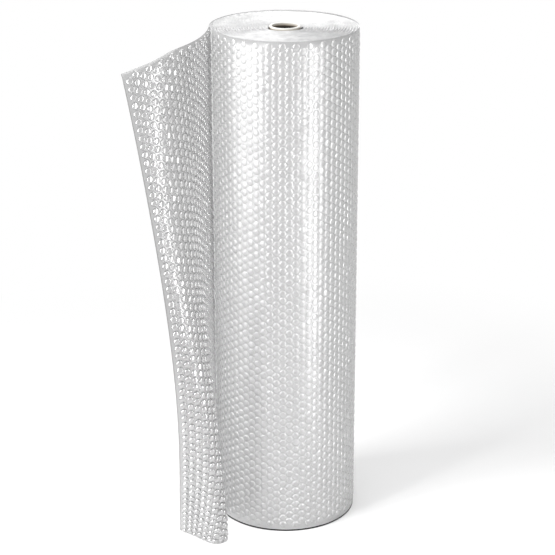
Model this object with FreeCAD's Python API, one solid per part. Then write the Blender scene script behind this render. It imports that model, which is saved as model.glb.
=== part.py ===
import FreeCAD, Part
import math
import os

# Roll of bubble film, one metre wide, wound on a paperboard tube and standing on its end.
# Millimetres. Z is the axis of the winding, and the origin is on that axis at the foot of the roll.
# The loose end of the film stands free at the left, and its free edge points to the front left.
# The film is wound anticlockwise outwards, seen from above, with its bubbles facing inwards.

# Film, with the height of its bubbles. The cut bubbles along both edges lie flat on the backing film,
# so the edges are bevelled on the bubble side.
film_width = 1000.0
film_thickness = 5.3
edge_bevel = 6.0

# Winding, measured across the outermost turn
roll_diameter = 290.0
core_clearance = 0.2

# Paperboard tube in the middle
core_bore = 51.0
core_wall = 3.5

# Loose end: how much film has come off the roll, measured along the film
loose_length = 305.0

# The loose end hugs the roll a little further round at its foot, then bends away from the roll.
# Each bend is given at the foot, at half height and at the top of the film.
hug_angle_foot = 6.0
bend_angle_foot = 149.0
bend_angle_middle = 63.0
bend_angle_top = 40.0
bend_place_foot = 198.0
bend_place_middle = 255.0
bend_place_top = 220.0
bend_length_foot = 75.0
bend_length_middle = 100.0
bend_length_top = 350.0

# Curl that is spread over the whole loose end
curl_angle_foot = -14.0
curl_angle_top = 40.0

# The bubbles stand in upright columns. On the loose end each column is a ridge on the bubble side.
column_spacing = 13.0
ridge_depth = 2.4

# Fineness of the curves that the loose end is drawn through
levels = 8
steps_per_station = 8

roll_radius = roll_diameter / 2
core_radius = core_bore / 2 + core_wall

# The winding is made of half turns that meet without a kink, and each turn lies on the turn inside it.
# Their two centres lie a quarter turn's wall to each side of the axis, so each half turn grows by half a wall.
winding_depth = roll_radius - core_radius - core_clearance
whole_turns = max(1, round(winding_depth / film_thickness - 1.5))
film_wall = winding_depth / (whole_turns + 1.5)
first_radius = core_radius + core_clearance + 1.25 * film_wall
half_turns = 2 * whole_turns + 1

# Upright lines of the loose end: one on each ridge, and one in each valley between two ridges
stations = 2 * round(loose_length / column_spacing)


def film_section(outer_x, inner_x):
    """Cut across the film, standing on end, with both edges bevelled on the bubble side."""
    return Part.Face(Part.makePolygon([
        FreeCAD.Vector(outer_x, 0, 0),
        FreeCAD.Vector(outer_x, 0, film_width),
        FreeCAD.Vector(inner_x, 0, film_width - edge_bevel),
        FreeCAD.Vector(inner_x, 0, edge_bevel),
        FreeCAD.Vector(outer_x, 0, 0),
    ]))


def half_turn(number):
    """One half turn of film. Even numbers lie behind the axis, and odd numbers in front of it."""
    side = 1 if number % 2 == 0 else -1
    centre = FreeCAD.Vector(-side * film_wall / 4, 0, 0)
    outer_x = centre.x + side * (first_radius + number * film_wall / 2)
    section = film_section(outer_x, outer_x - side * film_wall)
    return section.revolve(centre, FreeCAD.Vector(0, 0, 1), 180)


def winding():
    """All the wound turns as one solid. The bevelled edges of the turns show as a spiral at both ends."""
    turns = [half_turn(number) for number in range(half_turns)]
    return turns[0].multiFuse(turns[1:])


def through(foot, middle, top, height):
    """A value at a height from 0 to 1, on the parabola through its values at foot, middle and top."""
    at_foot = foot * (1 - height) * (1 - 2 * height)
    at_middle = 4 * middle * height * (1 - height)
    at_top = top * height * (2 * height - 1)
    return at_foot + at_middle + at_top


def ease(fraction):
    """A smooth step from 0 to 1."""
    fraction = min(max(fraction, 0), 1)
    return fraction * fraction * (3 - 2 * fraction)


def heading(distance, height):
    """Direction in degrees that the film runs in, seen from above, at a distance along the loose end."""
    hug_angle = hug_angle_foot * (1 - height) ** 2
    hug_length = 2 * roll_radius * math.radians(hug_angle_foot)
    bend_angle = through(bend_angle_foot, bend_angle_middle, bend_angle_top, height)
    bend_place = through(bend_place_foot, bend_place_middle, bend_place_top, height)
    bend_length = through(bend_length_foot, bend_length_middle, bend_length_top, height)
    curl_angle = curl_angle_foot + (curl_angle_top - curl_angle_foot) * height
    hug = hug_angle * ease(distance / hug_length)
    bend = bend_angle * ease((distance - bend_place) / bend_length + 0.5)
    curl = curl_angle * distance / loose_length
    return 270 + hug - bend - curl


def plan_line(height):
    """The middle of the film at one height, seen from above: x, y and direction at each station."""
    step = loose_length / (stations * steps_per_station)
    x = film_wall / 2 - roll_radius
    y = 0.0
    line = []
    for count in range(stations * steps_per_station + 1):
        if count % steps_per_station == 0:
            line.append((x, y, math.radians(heading(count * step, height))))
        halfway = math.radians(heading((count + 0.5) * step, height))
        x += step * math.cos(halfway)
        y += step * math.sin(halfway)
    return line


def upright_lines(offsets, margin):
    """Upright lines on one side of the film, from a margin above its lower edge to a margin below its upper edge.

    Each station has its own offset from the middle of the film.
    Where the film leans out, its lines rise less, because its width is fixed.
    """
    rise = (film_width - 2 * margin) / levels
    rows = []
    for level in range(levels + 1):
        line = plan_line((margin + level * rise) / film_width)
        row = []
        for station, offset in enumerate(offsets):
            x, y, along = line[station]
            here = FreeCAD.Vector(x - offset * math.sin(along), y + offset * math.cos(along), margin)
            if level > 0:
                below = rows[-1][station]
                lean = math.hypot(here.x - below.x, here.y - below.y)
                here.z = below.z + math.sqrt(rise * rise - min(lean, 0.9 * rise) ** 2)
            row.append(here)
        rows.append(row)
    lines = []
    for station in range(stations + 1):
        curve = Part.BSplineCurve()
        curve.interpolate([row[station] for row in rows])
        lines.append(curve.toShape())
    return lines


def strips(lines):
    """Upright strips of the film, each drawn straight across from one upright line to the next."""
    return [Part.makeRuledSurface(here, there, 1) for here, there in zip(lines, lines[1:])]


def bevels(outer_lines, inner_lines, end):
    """The bevel along one edge of the film: at the foot where end is 0, and at the top where it is -1."""
    outer = [line.Vertexes[end].Point for line in outer_lines]
    inner = [line.Vertexes[end].Point for line in inner_lines]
    faces = []
    for station in range(stations):
        outer_edge = Part.makeLine(outer[station], outer[station + 1])
        inner_edge = Part.makeLine(inner[station], inner[station + 1])
        faces.append(Part.makeRuledSurface(outer_edge, inner_edge, 1))
    return faces


def loose_end():
    """The film that has come off the roll: flat on its outer side, and ridged by its bubbles on the other."""
    flat_side = [-film_wall / 2] * (stations + 1)
    bubble_side = [film_wall / 2 - ridge_depth * (station % 2) for station in range(stations + 1)]
    outer_lines = upright_lines(flat_side, 0)
    inner_lines = upright_lines(bubble_side, edge_bevel)
    faces = strips(outer_lines) + strips(inner_lines)
    faces += bevels(outer_lines, inner_lines, 0) + bevels(outer_lines, inner_lines, -1)
    faces.append(film_section(-roll_radius, film_wall - roll_radius))
    faces.append(Part.makeRuledSurface(outer_lines[-1], inner_lines[-1], 1))
    shell = Part.makeShell(faces)
    shell.sewShape()
    solid = Part.makeSolid(shell)
    if solid.Volume < 0:
        solid.reverse()
    return solid


def bubble_film():
    """The film as one solid: the wound turns, and the loose end where the last turn leaves the roll."""
    return winding().fuse(loose_end())


def core_tube():
    """Paperboard tube that the film is wound on, cut flush with both ends of the roll."""
    outside = Part.makeCylinder(core_radius, film_width)
    bore = Part.makeCylinder(core_bore / 2, film_width)
    return outside.cut(bore)


os.makedirs("parts", exist_ok=True)
pieces = {"bubble_film": bubble_film(), "core_tube": core_tube()}
for name, shape in pieces.items():
    shape.exportStep("parts/" + name + ".step")
    box = shape.BoundBox
    print(name, "solids", len(shape.Solids), "valid", shape.isValid(), "volume", round(shape.Volume))
    print("  x", round(box.XMin, 2), round(box.XMax, 2), "y", round(box.YMin, 2), round(box.YMax, 2))
    print("  z", round(box.ZMin, 2), round(box.ZMax, 2))
print("whole turns", whole_turns, "film wall", round(film_wall, 3))
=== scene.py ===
# %% [markdown]
# # A roll of bubble film
# Bubble film is two thin clear films sealed together. One is flat, and the other is drawn into
# rows of round bubbles. A metre-wide web of it is wound on a paperboard tube, and the last bit
# of the web stands free at the left.
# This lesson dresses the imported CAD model, which holds the sizes. The tube keeps its CAD shape
# and gets a finish. The film is drawn anew, because its bubbles are too many for the CAD file.

# %% Load the frame
import math
import random

import bpy
import numpy as np
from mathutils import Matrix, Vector


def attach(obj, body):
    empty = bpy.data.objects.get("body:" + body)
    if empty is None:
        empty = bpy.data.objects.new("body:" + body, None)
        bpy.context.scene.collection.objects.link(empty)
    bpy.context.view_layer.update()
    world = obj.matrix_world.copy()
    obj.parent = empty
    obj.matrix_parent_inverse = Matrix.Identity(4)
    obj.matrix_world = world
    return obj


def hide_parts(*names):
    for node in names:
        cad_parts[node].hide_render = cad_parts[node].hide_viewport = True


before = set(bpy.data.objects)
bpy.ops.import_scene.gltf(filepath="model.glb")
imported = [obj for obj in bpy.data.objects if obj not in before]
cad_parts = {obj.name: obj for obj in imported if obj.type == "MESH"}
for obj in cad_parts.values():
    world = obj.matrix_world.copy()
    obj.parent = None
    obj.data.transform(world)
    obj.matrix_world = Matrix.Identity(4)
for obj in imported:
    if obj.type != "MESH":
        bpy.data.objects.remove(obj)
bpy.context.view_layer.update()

print("nodes", sorted(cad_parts))

# %% [markdown]
# ## Sizes
# The film is drawn with the same sizes as the CAD solid, in metres, so that it stands in the
# same place. They could be read from the mesh, but a few named sizes are easier to follow.

# %% Sizes of the film and the roll
film_width = 1.0
roll_radius = 0.145
tube_radius = 0.029
tube_gap = 0.0002
whole_turns = 20
film_wall = (roll_radius - tube_radius - tube_gap) / (whole_turns + 1.5)
first_radius = tube_radius + tube_gap + 1.25 * film_wall
last_angle = (2 * whole_turns + 1) * math.pi
loose_length = 0.305

# The bubbles stand in upright columns. Over each one the film's flat side has a low blister.
bubble_radius = 0.0069
bubble_height = 0.0040
column_spacing = 0.013
row_spacing = 0.015
film_gauge = 0.00012
blister_height = 0.0014
face_offset = film_wall / 2 - blister_height
first_column_gap = 2.5 * column_spacing
inner_bubble_gap = 0.0008
print("film wall", round(film_wall, 6), "turns", whole_turns)

# %% [markdown]
# ## Small helpers
# Meshes are made from arrays of points, because that is quick even for thousands of bubbles.
# Bmesh would do as well, but it handles points one by one.

# %% Helpers that make a piece
scene = bpy.context.scene


def make_piece(name, points, faces, smooth=True):
    """A mesh object from points and faces. It rides on the only body of the roll."""
    mesh = bpy.data.meshes.new(name)
    mesh.from_pydata([tuple(p) for p in points], [], [tuple(f) for f in faces])
    mesh.validate()
    mesh.polygons.foreach_set("use_smooth", [smooth] * len(mesh.polygons))
    mesh.update()
    piece = bpy.data.objects.new(name, mesh)
    scene.collection.objects.link(piece)
    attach(piece, "root")
    triangles = sum(len(f) - 2 for f in faces)
    print(name, len(points), "points", triangles, "triangles")
    return piece


def grid_faces(rows, columns, start=0, flip=False):
    """Four-sided faces of a grid of points that is stored row by row."""
    faces = []
    for row in range(rows - 1):
        for column in range(columns - 1):
            a = start + row * columns + column
            face = (a, a + 1, a + columns + 1, a + columns)
            faces.append(face[::-1] if flip else face)
    return faces


# %% [markdown]
# ## The line of the winding
# Seen from above, the wound film is a spiral. Half circles that meet without a kink are an easy
# spiral to work with: each half turn has its centre a little to one side of the axis.

# %% A point on the winding
def winding_point(angle, depth=0.0):
    """Point on the winding, seen from above, at a depth inside the film's outer face."""
    number = np.minimum(np.floor(angle / np.pi + 1e-9), 2 * whole_turns)
    side = np.where(number % 2 == 0, 1.0, -1.0)
    radius = first_radius + number * film_wall / 2 - depth
    x = -side * film_wall / 4 + radius * np.cos(angle)
    y = radius * np.sin(angle)
    return x, y


print("outermost point", [round(float(v), 4) for v in winding_point(np.array(last_angle))])

# %% [markdown]
# ## The surface of the loose end
# The loose end is a sheet that bends but hardly stretches. It is drawn by its heading: at every
# height the film starts along the roll and then turns by a known angle. Adding up small steps
# along that heading gives a sheet that keeps its length, which a free-hand surface wouldn't.

# %% Heading of the loose end
def through(foot, middle, top, height):
    """A value at a height from 0 to 1, on the parabola through foot, middle and top."""
    in_foot_shadow = foot * (1 - height) * (1 - 2 * height)
    return in_foot_shadow + 4 * middle * height * (1 - height) + top * height * (2 * height - 1)


def ease(fraction):
    """A smooth step from 0 to 1."""
    fraction = np.clip(fraction, 0, 1)
    return fraction * fraction * (3 - 2 * fraction)


def heading(distance, height):
    """Direction in radians that the film runs in, seen from above."""
    hug = 6.0 * (1 - height) ** 2 * ease(distance / (2 * roll_radius * math.radians(6.0)))
    bend_angle = through(149.0, 63.0, 40.0, height)
    bend_place = through(0.198, 0.255, 0.220, height)
    bend_length = through(0.075, 0.100, 0.350, height)
    bend = bend_angle * ease((distance - bend_place) / bend_length + 0.5)
    curl = (-14.0 + 54.0 * height) * distance / loose_length
    return np.radians(270 + hug - bend - curl)


# %% Points of the loose end
sheet_steps = 244
sheet_levels = 200
distances = np.linspace(0, loose_length, sheet_steps + 1)
heights = np.linspace(0, 1, sheet_levels + 1)[:, None]
halfway = (distances[:-1] + distances[1:]) / 2
step = loose_length / sheet_steps
runs = heading(halfway[None, :], heights)
zero = np.zeros((sheet_levels + 1, 1))
sheet_x = film_wall / 2 - roll_radius + np.hstack([zero, np.cumsum(step * np.cos(runs), axis=1)])
sheet_y = np.hstack([zero, np.cumsum(step * np.sin(runs), axis=1)])
rise = film_width / sheet_levels
leans = np.hypot(np.diff(sheet_x, axis=0), np.diff(sheet_y, axis=0))
climbs = np.sqrt(rise**2 - np.minimum(leans, 0.9 * rise) ** 2)
sheet_z = np.vstack([np.zeros((1, sheet_steps + 1)), np.cumsum(climbs, axis=0)])
sheet_points = np.stack([sheet_x, sheet_y, sheet_z], axis=-1)

along_film = np.gradient(sheet_points, axis=1)
along_film /= np.linalg.norm(along_film, axis=-1, keepdims=True)
up_film = np.gradient(sheet_points, axis=0)
up_film /= np.linalg.norm(up_film, axis=-1, keepdims=True)
bubble_side = np.cross(up_film, along_film)
bubble_side /= np.linalg.norm(bubble_side, axis=-1, keepdims=True)
print("free corner", [round(float(v), 3) for v in sheet_points[-1, -1]])

# %% A place on the film
def on_loose_end(distance, height):
    """Where bubbles stand on the film, with its three directions, at a distance and a height."""
    column = min(max(distance / step, 0), sheet_steps - 1e-6)
    row = min(max(height / rise, 0), sheet_levels - 1e-6)
    c, r = int(column), int(row)
    u, v = column - c, row - r

    def between(array):
        low = array[r, c] * (1 - u) + array[r, c + 1] * u
        high = array[r + 1, c] * (1 - u) + array[r + 1, c + 1] * u
        return low * (1 - v) + high * v

    side = between(bubble_side)
    place = between(sheet_points) - side * (face_offset - film_gauge)
    return place, between(along_film), between(up_film), side


def behind_loose_end(distance, height):
    """The same on the flat side of the loose end, where the blisters point the other way."""
    place, along, up, side = on_loose_end(distance, height)
    return place - side * film_gauge, along, up, -side


def on_outer_turn(distance, height, depth, outwards):
    """The same on the outermost turn, at a distance counted back from the loose end."""
    angle = last_angle - (distance + first_column_gap) / (roll_radius - film_wall / 2)
    x, y = winding_point(np.array(angle), depth)
    side = np.array([math.cos(angle), math.sin(angle), 0.0]) * outwards
    along = np.array([-math.sin(angle), math.cos(angle), 0.0])
    return np.array([float(x), float(y), height]), along, np.array([0.0, 0.0, 1.0]), side


def inside_outer_turn(distance, height):
    """Places of the bubbles behind the flat film of the outermost turn."""
    return on_outer_turn(distance, height, blister_height + film_gauge, -1)


def outside_outer_turn(distance, height):
    """Places of the low blisters on the outer face of the outermost turn."""
    return on_outer_turn(distance, height, blister_height, 1)


# %% [markdown]
# ## The flat film of the loose end
# The backing film is a thin sheet with a front and a back, so it is closed like real film.
# A plane with a solidify modifier would do, but the points are at hand already.

# %% Flat film of the loose end
def flat_film(name, outer, inner):
    """A thin closed sheet between two grids of points."""
    rows, columns = outer.shape[:2]
    points = np.vstack([outer.reshape(-1, 3), inner.reshape(-1, 3)])
    count = rows * columns
    faces = grid_faces(rows, columns) + grid_faces(rows, columns, count, flip=True)
    rim = list(range(columns))
    rim += [r * columns + columns - 1 for r in range(1, rows)]
    rim += [(rows - 1) * columns + c for c in range(columns - 2, -1, -1)]
    rim += [r * columns for r in range(rows - 2, 0, -1)]
    for a, b in zip(rim, rim[1:] + rim[:1]):
        faces.append((b, a, a + count, b + count))
    return make_piece(name, points, faces)


# The sheet needs fewer points than the places of its bubbles do. A narrow last strip is the cut
# edge, which shows as a darker line.
stride = 4
upright_lines = list(range(0, sheet_steps + 1, stride))
upright_lines.insert(-1, sheet_steps - 1)
pick = np.ix_(range(0, sheet_levels + 1, stride), upright_lines)
outer_face = (sheet_points - bubble_side * face_offset)[pick]
inner_face = (sheet_points - bubble_side * (face_offset - film_gauge))[pick]
loose_end = flat_film("loose_end", outer_face, inner_face)
strips = len(upright_lines) - 1
side_faces = strips * (sheet_levels // stride)
at_edge = [face % strips == strips - 1 for face in range(2 * side_faces)]
at_edge += [True] * (len(loose_end.data.polygons) - len(at_edge))
loose_end.data.polygons.foreach_set("material_index", [int(edge) for edge in at_edge])

# %% [markdown]
# ## Bubbles
# The drawn film stands up in round bubbles with steep sides and a nearly flat top. They stand in
# upright columns, and each column is half a row higher or lower than the one beside it. The
# flat film is a little slack over each bubble and stands up there in a low blister.
# One bubble could be placed on the faces of a grid by instancing, but the film's two sheets and
# its bubbles are one object in a shop, so each bubble is written straight into one mesh.

# %% One bubble, as rings around its middle
# Each ring is a share of the radius and a share of the height.
fine_bubble = [(1.0, 0.0), (0.95, 0.42), (0.84, 0.74), (0.68, 0.93), (0.5, 0.99)]
plain_bubble = [(1.0, 0.0), (0.94, 0.6), (0.72, 0.94)]
low_blister = [(1.0, 0.0), (0.93, 0.38), (0.82, 0.76), (0.66, 0.97)]
bubble_sides = 12
blister_sides = 8
blister_wobble = 0.04


def bubble_mesh(name, places, rings, tallest, sides, wobble, seed):
    """All bubbles that stand at the given places, as one mesh.

    No two bubbles are quite alike: size, height, tilt and turn differ a little. Each point keeps
    its share of the height as the attribute lift, which the finishes read.
    """
    dice = random.Random(seed)
    points, faces, lifts = [], [], []
    for base, along, up, out in places:
        size = bubble_radius * dice.uniform(0.96, 1.02)
        tall = tallest * dice.uniform(0.88, 1.0)
        tilt_a, tilt_b = dice.gauss(0, wobble), dice.gauss(0, wobble)
        turn = dice.uniform(0, 2 * math.pi / sides)
        start = len(points)
        for share, lift in rings:
            for side in range(sides):
                angle = turn + 2 * math.pi * side / sides
                a, b = size * share * math.cos(angle), size * share * math.sin(angle)
                lean = lift * (a * tilt_a + b * tilt_b)
                points.append(base + along * a + up * b + out * (tall * lift + lean))
                lifts.append(lift)
        points.append(base + out * tall)
        lifts.append(1.0)
        for ring in range(len(rings) - 1):
            for side in range(sides):
                a = start + ring * sides + side
                b = start + ring * sides + (side + 1) % sides
                faces.append((a, b, b + sides, a + sides))
        top = start + (len(rings) - 1) * sides
        for side in range(sides):
            faces.append((top + side, top + (side + 1) % sides, len(points) - 1))
    piece = make_piece(name, points, faces)
    piece.data.attributes.new("lift", "FLOAT", "POINT").data.foreach_set("value", lifts)
    return piece


def bubble_grid(columns, on_film, lowest=0.0):
    """Places of the bubbles in some of the film's upright columns."""
    places = []
    for column in columns:
        shift = row_spacing / 2 if column % 2 else 0.0
        for row in range(int(film_width / row_spacing) + 1):
            height = row_spacing / 2 + row * row_spacing + shift
            if lowest < height - bubble_radius and height < film_width - bubble_radius:
                places.append(on_film((column + 0.5) * column_spacing, height))
    return places


loose_columns = range(int(loose_length / column_spacing))
loose_places = bubble_grid(loose_columns, on_loose_end)
loose_backs = bubble_grid(loose_columns, behind_loose_end)
loose_blisters = bubble_mesh("loose_end_blisters", loose_backs, low_blister, blister_height,
                             blister_sides, blister_wobble, 11)
loose_bubbles = bubble_mesh("loose_end_bubbles", loose_places, fine_bubble, bubble_height,
                            bubble_sides, 0.1, 3)

# %% [markdown]
# ## The wound turns
# The turns below the outermost one are drawn as one wound mass. Only their edges show at both
# ends, as a spiral of film with cut bubbles between the turns. The edge of each turn stands a
# little proud or low, because nobody winds film perfectly.

# %% Wound mass with a spiral at both ends
per_turn = 120
spiral_angles = np.arange(0, last_angle + 1e-9, 2 * math.pi / per_turn)
edge_bevel = 0.006
valley_depth = 0.96 * film_wall
mass_foot = 0.0005


def turn_edge_drop(angle, seed):
    """How far the film's edge stands below the end of the roll, at an angle along the winding."""
    dice = random.Random(seed)
    waves = [(dice.uniform(0.3, 3.1), dice.uniform(0, 6.3), dice.uniform(0.2, 0.5))
             for _ in range(9)]
    height = sum(share * np.sin(rate * angle + phase) for rate, phase, share in waves)
    return 0.0012 + 0.0005 * np.clip(2 - height, 0, 4)


def wound_mass(name):
    """The mass of inner turns: ridge and valley lines on both ends, joined by the outer side."""
    count = len(spiral_angles)
    outermost = spiral_angles > last_angle - 2 * math.pi
    ridge_depth = np.where(outermost, blister_height + film_gauge, 0)
    ridge_x, ridge_y = winding_point(spiral_angles, ridge_depth)
    valley_x, valley_y = winding_point(spiral_angles, valley_depth)
    arc = first_radius * spiral_angles + film_wall * spiral_angles**2 / (4 * math.pi)
    scallop = 0.5 + 0.5 * np.cos(2 * math.pi * arc / column_spacing)
    points, faces = [], []
    for end, seed in ((0, 5), (1, 6)):
        deep = edge_bevel * (0.4 + 0.35 * scallop)
        if end:
            ridge_z = film_width - turn_edge_drop(spiral_angles, seed)
            valley_z = ridge_z - deep
        else:
            ridge_z, valley_z = np.full(count, mass_foot), deep
        start = len(points)
        points += list(np.stack([ridge_x, ridge_y, ridge_z], axis=-1))
        points += list(np.stack([valley_x, valley_y, valley_z], axis=-1))
        for i in range(count - 1):
            ridge, valley = start + i, start + count + i
            face = (ridge, ridge + 1, valley + 1, valley)
            faces.append(face if end else face[::-1])
            if i >= per_turn:
                below = ridge - per_turn
                face = (valley, valley + 1, below + 1, below)
                faces.append(face if end else face[::-1])
    materials = [1] * len(faces)
    for i in range(count - 2 * per_turn - 1, count - per_turn - 1):
        low, high = i, i + 2 * count
        faces.append((low, low + 1, high + 1, high))
        materials.append(0)
    piece = make_piece(name, points, faces, smooth=False)
    piece.data.polygons.foreach_set("material_index", materials)
    return piece


wound_turns = wound_mass("wound_turns")
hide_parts("bubble_film")

# %% [markdown]
# ## The outermost turn
# On the roll the flat film is outside and the bubbles point inwards, so the bubbles are seen
# through the film. That is why the roll looks smoother than the loose end. Both layers are real
# pieces here, because a painted pattern would not catch the light like bubbles do.

# %% Flat film and bubbles of the outermost turn
turn_overlap = 0.12
turn_steps = 144
turn_levels = 41
turn_angles = np.linspace(last_angle - 2 * math.pi - turn_overlap, last_angle, turn_steps + 1)
# The lowest strip of the film is painted near black, as a painted contact shadow where the roll
# stands on the floor.
foot_gap = 0.0004
foot_edge = 0.0034


def turn_film(depth):
    """Points of the outermost turn's film at a depth below the face of its blisters."""
    x, y = winding_point(turn_angles, depth)
    levels = np.append(foot_gap, np.linspace(foot_edge, film_width, turn_levels))
    rows = [np.stack([x, y, np.full_like(x, z)], axis=-1) for z in levels]
    return np.array(rows)


outer_turn = flat_film("outer_turn", turn_film(blister_height),
                       turn_film(blister_height + film_gauge))
side_faces = turn_steps * turn_levels
# Faces of the lowest strip wear the painted contact shadow.
in_foot_shadow = [face % side_faces < turn_steps for face in range(2 * side_faces)]
in_foot_shadow += [False] * (len(outer_turn.data.polygons) - len(in_foot_shadow))
outer_turn.data.polygons.foreach_set("material_index", [int(low) for low in in_foot_shadow])
turn_length = 2 * math.pi * (roll_radius - film_wall)
last_column = int(turn_length / column_spacing)
in_front = range(-2, last_column // 2)
behind = range(last_column // 2, last_column - 2)
inner_places = bubble_grid(range(-2, last_column - 2), inside_outer_turn, foot_edge)
outer_bubbles = bubble_mesh("outer_turn_bubbles", inner_places, plain_bubble,
                            film_wall - blister_height - inner_bubble_gap, blister_sides, 0.05, 4)
front_places = bubble_grid(in_front, outside_outer_turn, foot_edge)
front_blisters = bubble_mesh("front_blisters", front_places, low_blister, blister_height,
                             blister_sides, blister_wobble, 9)
back_places = bubble_grid(behind, outside_outer_turn, foot_edge)
back_blisters = bubble_mesh("back_blisters", back_places, low_blister, blister_height,
                            blister_sides, blister_wobble, 10)

# %% [markdown]
# ## Finishes
# Clear film shows three things: it is see-through, it mirrors the lamps, and it looks milky
# where many layers lie on each other. A glass shader with real refraction would be slow and
# noisy with so many layers, so the film is a glossy plastic with a share of transparency. Real
# film has several faces that each mirror the lamps. A coat with a strong gloss stands for them.

# %% A group for haze: small changes of tone and fine creases
def add_socket(group, name, direction, kind, value=None):
    """A socket on the outside of a node group, with the value that it starts with."""
    socket = group.interface.new_socket(name, in_out=direction, socket_type=kind)
    if value is not None:
        socket.default_value = value
    return socket


def haze_group():
    """Tone and creases of plastic film, as a group that several finishes share."""
    group = bpy.data.node_groups.new("film_haze", "ShaderNodeTree")
    add_socket(group, "Size", "INPUT", "NodeSocketFloat", 8.0)
    add_socket(group, "Light Tone", "INPUT", "NodeSocketColor", (0.9, 0.9, 0.9, 1))
    add_socket(group, "Dark Tone", "INPUT", "NodeSocketColor", (0.8, 0.8, 0.8, 1))
    add_socket(group, "Tone", "OUTPUT", "NodeSocketColor")
    add_socket(group, "Crease", "OUTPUT", "NodeSocketFloat")
    nodes, links = group.nodes, group.links
    given, result = nodes.new("NodeGroupInput"), nodes.new("NodeGroupOutput")
    place = nodes.new("ShaderNodeTexCoord")
    stretch = nodes.new("ShaderNodeMapping")
    stretch.inputs["Scale"].default_value = (1.0, 1.0, 0.16)
    links.new(place.outputs["Object"], stretch.inputs["Vector"])
    cloud = nodes.new("ShaderNodeTexNoise")
    cloud.inputs["Detail"].default_value = 4.0
    links.new(given.outputs["Size"], cloud.inputs["Scale"])
    links.new(stretch.outputs["Vector"], cloud.inputs["Vector"])
    mix = nodes.new("ShaderNodeMix")
    mix.data_type = "RGBA"
    links.new(cloud.outputs["Fac"], mix.inputs["Factor"])
    links.new(given.outputs["Dark Tone"], mix.inputs["A"])
    links.new(given.outputs["Light Tone"], mix.inputs["B"])
    links.new(mix.outputs["Result"], result.inputs["Tone"])
    fine = nodes.new("ShaderNodeTexNoise")
    fine.inputs["Scale"].default_value = 110.0
    fine.inputs["Detail"].default_value = 3.0
    links.new(stretch.outputs["Vector"], fine.inputs["Vector"])
    links.new(fine.outputs["Fac"], result.inputs["Crease"])
    return group


film_haze = haze_group()


# %% A film finish
def film_finish(name, light, dark, rough, gloss, clear_face=1.0, clear_edge=1.0,
                crease=0.15, size=8.0, painted_wall_shade=None, coat=0.0, top_coat=None):
    """Clear plastic film. It is see-through face on, and shows more of itself edge on.

    With painted wall shade, the bubbles' steep walls are painted a darker tone as painted shade.
    With a top coat, its gloss is on the rims.
    """
    finish = bpy.data.materials.new(name)
    finish.use_nodes = True
    nodes, links = finish.node_tree.nodes, finish.node_tree.links
    shader = nodes["Principled BSDF"]
    haze = nodes.new("ShaderNodeGroup")
    haze.node_tree = film_haze
    haze.inputs["Size"].default_value = size
    haze.inputs["Light Tone"].default_value = (light, light, light, 1)
    haze.inputs["Dark Tone"].default_value = (dark, dark, dark * 1.01, 1)
    tone = haze.outputs["Tone"]
    # Painted shade: the bubbles' steep walls are painted darker than their tops, with the given
    # tone at the foot of the wall.
    if painted_wall_shade:
        lift = nodes.new("ShaderNodeAttribute")
        lift.attribute_name = "lift"
        wall = nodes.new("ShaderNodeMapRange")
        wall.interpolation_type = "SMOOTHSTEP"
        wall.inputs["From Min"].default_value = 0.0
        wall.inputs["From Max"].default_value = 0.7
        links.new(lift.outputs["Fac"], wall.inputs["Value"])
        shade = nodes.new("ShaderNodeMix")
        shade.data_type = "RGBA"
        shade.inputs["A"].default_value = (painted_wall_shade, painted_wall_shade, painted_wall_shade, 1)
        links.new(wall.outputs["Result"], shade.inputs["Factor"])
        links.new(tone, shade.inputs["B"])
        tone = shade.outputs["Result"]
    links.new(tone, shader.inputs["Base Color"])
    shader.inputs["Roughness"].default_value = rough
    shader.inputs["IOR"].default_value = gloss
    shader.inputs["Coat Weight"].default_value = coat
    shader.inputs["Coat Roughness"].default_value = 0.05
    shader.inputs["Coat IOR"].default_value = 2.45
    if top_coat is not None:
        rim = nodes.new("ShaderNodeAttribute")
        rim.attribute_name = "lift"
        shine = nodes.new("ShaderNodeMapRange")
        shine.inputs["From Min"].default_value = 0.8
        shine.inputs["From Max"].default_value = 1.0
        shine.inputs["To Min"].default_value = coat
        shine.inputs["To Max"].default_value = top_coat
        links.new(rim.outputs["Fac"], shine.inputs["Value"])
        links.new(shine.outputs["Result"], shader.inputs["Coat Weight"])
    bump = nodes.new("ShaderNodeBump")
    bump.inputs["Strength"].default_value = crease
    bump.inputs["Distance"].default_value = 0.002
    links.new(haze.outputs["Crease"], bump.inputs["Height"])
    links.new(bump.outputs["Normal"], shader.inputs["Normal"])
    if clear_face < 1:
        facing = nodes.new("ShaderNodeLayerWeight")
        facing.inputs["Blend"].default_value = 0.5
        amount = nodes.new("ShaderNodeMapRange")
        amount.inputs["To Min"].default_value = clear_face
        amount.inputs["To Max"].default_value = clear_edge
        links.new(facing.outputs["Facing"], amount.inputs["Value"])
        # Light passes through clear film, so the film hardly shades what lies behind it.
        rays = nodes.new("ShaderNodeLightPath")
        lighting = nodes.new("ShaderNodeMath")
        lighting.operation = "MAXIMUM"
        links.new(rays.outputs["Is Shadow Ray"], lighting.inputs[0])
        links.new(rays.outputs["Is Diffuse Ray"], lighting.inputs[1])
        passing = nodes.new("ShaderNodeMapRange")
        passing.inputs["To Min"].default_value = 1.0
        passing.inputs["To Max"].default_value = 0.04
        links.new(lighting.outputs["Value"], passing.inputs["Value"])
        cover = nodes.new("ShaderNodeMath")
        cover.operation = "MULTIPLY"
        links.new(amount.outputs["Result"], cover.inputs[0])
        links.new(passing.outputs["Result"], cover.inputs[1])
        links.new(cover.outputs["Value"], shader.inputs["Alpha"])
    return finish


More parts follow.
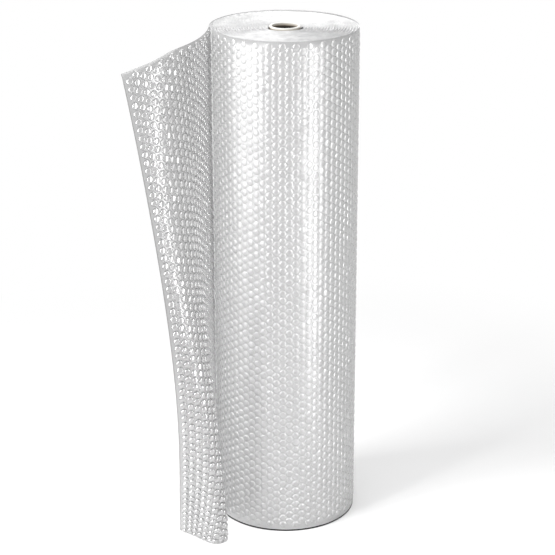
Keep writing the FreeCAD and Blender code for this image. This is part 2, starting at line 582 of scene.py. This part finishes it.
# %% Finishes of the film's layers
wound_finish = film_finish("wound_film", light=0.58, dark=0.42, rough=0.3, gloss=1.5)
edge_finish = film_finish("film_edges", light=0.88, dark=0.42, rough=0.35, gloss=1.5, size=60.0)
sheet_finish = film_finish("clear_sheet", light=0.3, dark=0.22, rough=0.3, gloss=2.0,
                           clear_face=0.65, clear_edge=0.9, coat=0.3)
cut_finish = film_finish("cut_edge", light=0.2, dark=0.14, rough=0.3, gloss=1.5)
# Clear bubbles with painted shade on their steep walls.
bubble_finish = film_finish("clear_bubble", light=0.26, dark=0.19, rough=0.2, gloss=2.1,
                            clear_face=0.8, clear_edge=0.97, painted_wall_shade=0.08, coat=1.0)
skin_finish = film_finish("clear_skin", light=0.3, dark=0.22, rough=0.32, gloss=2.5,
                          clear_face=0.7, clear_edge=0.9, crease=0.5)
# A near-black finish that paints the contact shadow on the lowest strip of the outer turn.
foot_shadow_finish = film_finish("painted_foot_shadow", light=0.012, dark=0.008, rough=0.9, gloss=1.1)
blister_finish = film_finish("clear_blister", light=0.28, dark=0.2, rough=0.32, gloss=2.5,
                             clear_face=0.8, clear_edge=0.95, crease=0.5, coat=1.0,
                             top_coat=0.05)
inner_finish = film_finish("inner_bubble", light=0.58, dark=0.42, rough=0.1, gloss=1.6,
                           clear_face=0.5, clear_edge=0.95)
for piece, finishes in (
    (wound_turns, [wound_finish, edge_finish]),
    (loose_end, [sheet_finish, cut_finish]),
    (loose_bubbles, [bubble_finish]),
    (outer_turn, [skin_finish, foot_shadow_finish]),
    (loose_blisters, [blister_finish]),
    (front_blisters, [blister_finish]),
    (back_blisters, [blister_finish]),
    (outer_bubbles, [inner_finish]),
):
    for finish in finishes:
        piece.data.materials.append(finish)
    print(piece.name, "wears", ", ".join(finish.name for finish in finishes))

# %% [markdown]
# ## Paperboard tube
# The tube is wound from strips of brown paper, so its finish has fine fibres. Its ends are pale
# from the light. Its inside is painted dark within a centimetre as painted shade, because little
# light gets in. The wall's painted tone follows the distance from the nearer end, which a plain
# colour couldn't do.

# %% Paperboard
mouth_depth = 0.010
paper = bpy.data.materials.new("paperboard")
paper.use_nodes = True
paper_nodes, paper_links = paper.node_tree.nodes, paper.node_tree.links
paper_shader = paper_nodes["Principled BSDF"]
paper_shader.inputs["Roughness"].default_value = 0.85
fibre = paper_nodes.new("ShaderNodeTexNoise")
fibre.inputs["Scale"].default_value = 220.0
fibre.inputs["Detail"].default_value = 6.0
tone = paper_nodes.new("ShaderNodeValToRGB")
tone.color_ramp.elements[0].color = (0.84, 0.83, 0.8, 1)
tone.color_ramp.elements[1].color = (0.97, 0.96, 0.94, 1)
paper_links.new(fibre.outputs["Fac"], tone.inputs["Fac"])
place = paper_nodes.new("ShaderNodeTexCoord")
height = paper_nodes.new("ShaderNodeSeparateXYZ")
paper_links.new(place.outputs["Object"], height.inputs["Vector"])
from_middle = paper_nodes.new("ShaderNodeMath")
from_middle.operation = "SUBTRACT"
from_middle.inputs[1].default_value = film_width / 2
paper_links.new(height.outputs["Z"], from_middle.inputs[0])
either_end = paper_nodes.new("ShaderNodeMath")
either_end.operation = "ABSOLUTE"
paper_links.new(from_middle.outputs["Value"], either_end.inputs[0])
inside = paper_nodes.new("ShaderNodeMapRange")
inside.inputs["From Min"].default_value = film_width / 2 - mouth_depth
inside.inputs["From Max"].default_value = film_width / 2
paper_links.new(either_end.outputs["Value"], inside.inputs["Value"])
# Painted shade: from each end inwards the wall is painted from pale through brown to near black
# within mouth_depth. The brown step is partly the paper's own colour and partly painted half
# shade.
painted_mouth_shade = paper_nodes.new("ShaderNodeValToRGB")
ramp = painted_mouth_shade.color_ramp
ramp.elements[0].position, ramp.elements[0].color = 0.3, (0.035, 0.03, 0.024, 1)
ramp.elements[1].position, ramp.elements[1].color = 0.97, (0.95, 0.95, 0.94, 1)
half_shade = ramp.elements.new(0.55)
half_shade.color = (0.4, 0.35, 0.29, 1)
paper_links.new(inside.outputs["Result"], painted_mouth_shade.inputs["Fac"])
paper_mix = paper_nodes.new("ShaderNodeMix")
paper_mix.data_type = "RGBA"
paper_mix.blend_type = "MULTIPLY"
paper_mix.inputs["Factor"].default_value = 1.0
paper_links.new(painted_mouth_shade.outputs["Color"], paper_mix.inputs["A"])
paper_links.new(tone.outputs["Color"], paper_mix.inputs["B"])
paper_links.new(paper_mix.outputs["Result"], paper_shader.inputs["Base Color"])
paper_bump = paper_nodes.new("ShaderNodeBump")
paper_bump.inputs["Strength"].default_value = 0.3
paper_bump.inputs["Distance"].default_value = 0.0005
paper_links.new(fibre.outputs["Fac"], paper_bump.inputs["Height"])
paper_links.new(paper_bump.outputs["Normal"], paper_shader.inputs["Normal"])
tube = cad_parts["core_tube"]
tube.data.materials.clear()
tube.data.materials.append(paper)
print("tube finish on", tube.name)

# %% [markdown]

# %% [markdown]
# ## Floor, lamps and camera
# A photo studio for clear film has a white floor and large soft lamps at both sides. Their long
# mirror images are what draws the bubbles. The floor and the backdrop look pure white to the
# camera and in mirror images, but they give no more light than a plain pale room does. Near the
# roll the floor is a plain pale surface, so that it keeps the roll's shadow.

# %% Which rays see white
def seen_white(nodes, links):
    """1 for rays from the camera, from a mirror image or through clear film, and 0 for others."""
    rays = nodes.new("ShaderNodeLightPath")
    seen = nodes.new("ShaderNodeMath")
    seen.operation = "MAXIMUM"
    links.new(rays.outputs["Is Camera Ray"], seen.inputs[0])
    links.new(rays.outputs["Is Glossy Ray"], seen.inputs[1])
    seen_through = nodes.new("ShaderNodeMath")
    seen_through.operation = "MAXIMUM"
    links.new(seen.outputs["Value"], seen_through.inputs[0])
    links.new(rays.outputs["Is Transmission Ray"], seen_through.inputs[1])
    return seen_through.outputs["Value"]


# %% Floor
shadow_reach = 0.45
white_from = 1.4
floor = bpy.data.objects.new("floor", bpy.data.meshes.new("floor"))
reach = 16.0
corners = [(-reach, -reach, 0), (reach, -reach, 0), (reach, reach, 0), (-reach, reach, 0)]
floor.data.from_pydata(corners, [], [(0, 1, 2, 3)])
scene.collection.objects.link(floor)
floor_finish = bpy.data.materials.new("white_floor")
floor_finish.use_nodes = True
nodes, links = floor_finish.node_tree.nodes, floor_finish.node_tree.links
floor_shader = nodes["Principled BSDF"]
floor_shader.inputs["Base Color"].default_value = (0.9, 0.9, 0.9, 1)
floor_shader.inputs["Roughness"].default_value = 0.9
white = nodes.new("ShaderNodeEmission")
seen = seen_white(nodes, links)
place = nodes.new("ShaderNodeTexCoord")
away = nodes.new("ShaderNodeVectorMath")
away.operation = "LENGTH"
links.new(place.outputs["Object"], away.inputs[0])
fade = nodes.new("ShaderNodeMapRange")
fade.interpolation_type = "SMOOTHSTEP"
fade.inputs["From Min"].default_value = shadow_reach
fade.inputs["From Max"].default_value = white_from
links.new(away.outputs["Value"], fade.inputs["Value"])
share = nodes.new("ShaderNodeMath")
share.operation = "MULTIPLY"
links.new(seen, share.inputs[0])
links.new(fade.outputs["Result"], share.inputs[1])
both = nodes.new("ShaderNodeMixShader")
links.new(share.outputs["Value"], both.inputs["Fac"])
links.new(floor_shader.outputs["BSDF"], both.inputs[1])
links.new(white.outputs["Emission"], both.inputs[2])
links.new(both.outputs["Shader"], nodes["Material Output"].inputs["Surface"])
floor.data.materials.append(floor_finish)

# %% Lamps
def soft_lamp(name, place, aim, width, height, power):
    """A flat soft lamp that points at a place on the roll."""
    data = bpy.data.lights.new(name, "AREA")
    data.shape = "RECTANGLE"
    data.size, data.size_y, data.energy = width, height, power
    lamp = bpy.data.objects.new(name, data)
    lamp.location = place
    lamp.rotation_euler = (Vector(aim) - Vector(place)).to_track_quat("-Z", "Y").to_euler()
    lamp.visible_camera = False
    scene.collection.objects.link(lamp)
    return lamp


# The right window and the two strips are tall and narrow, so each bubble's rim mirrors them as a
# short dash. The near strip also reaches the foot of the roll. The window at the left side is the
# main light, and throws the shadow to the right. The top lamp lights the spiral of edges.
soft_lamp("right_window", (1.25, -1.16, 1.3), (0, 0, 0.75), 0.28, 2.5, 6)
soft_lamp("right_strip", (0.5, -0.6, 0.66), (0, 0, 0.62), 0.14, 1.28, 4.7)
soft_lamp("left_strip", (-1.1, -1.22, 1.3), (0, 0, 0.75), 0.2, 2.5, 14)
soft_lamp("left_side_window", (-1.95, -0.9, 0.95), (0, 0, 0.5), 1.1, 1.9, 75)
soft_lamp("top_lamp", (0.0, 0.3, 2.3), (0, 0, 0.4), 1.4, 1.4, 15)

world = bpy.data.worlds.new("studio")
scene.world = world
world.use_nodes = True
room_light = 0.5
nodes, links = world.node_tree.nodes, world.node_tree.links
backdrop = nodes["Background"]
backdrop.inputs["Color"].default_value = (1, 1, 1, 1)
seen = seen_white(nodes, links)
level = nodes.new("ShaderNodeMapRange")
level.inputs["To Min"].default_value = room_light
level.inputs["To Max"].default_value = 1.0
links.new(seen, level.inputs["Value"])
links.new(level.outputs["Result"], backdrop.inputs["Strength"])

# %% [markdown]
# ## Camera
# The camera stands where the photo was taken from. Its place, tilt and lens were fitted to the
# outline of the roll: the ellipse of the top, the curve of the foot and the two sides.

# %% Camera
camera_data = bpy.data.cameras.new("camera")
camera = bpy.data.objects.new("camera", camera_data)
camera.location = (0.0, -3.379, 1.739)
camera.rotation_euler = (math.radians(69.74), 0, 0)
camera_data.lens = 117.52
camera_data.shift_x = -0.01324
scene.collection.objects.link(camera)
scene.camera = camera
scene.view_settings.view_transform = "Standard"
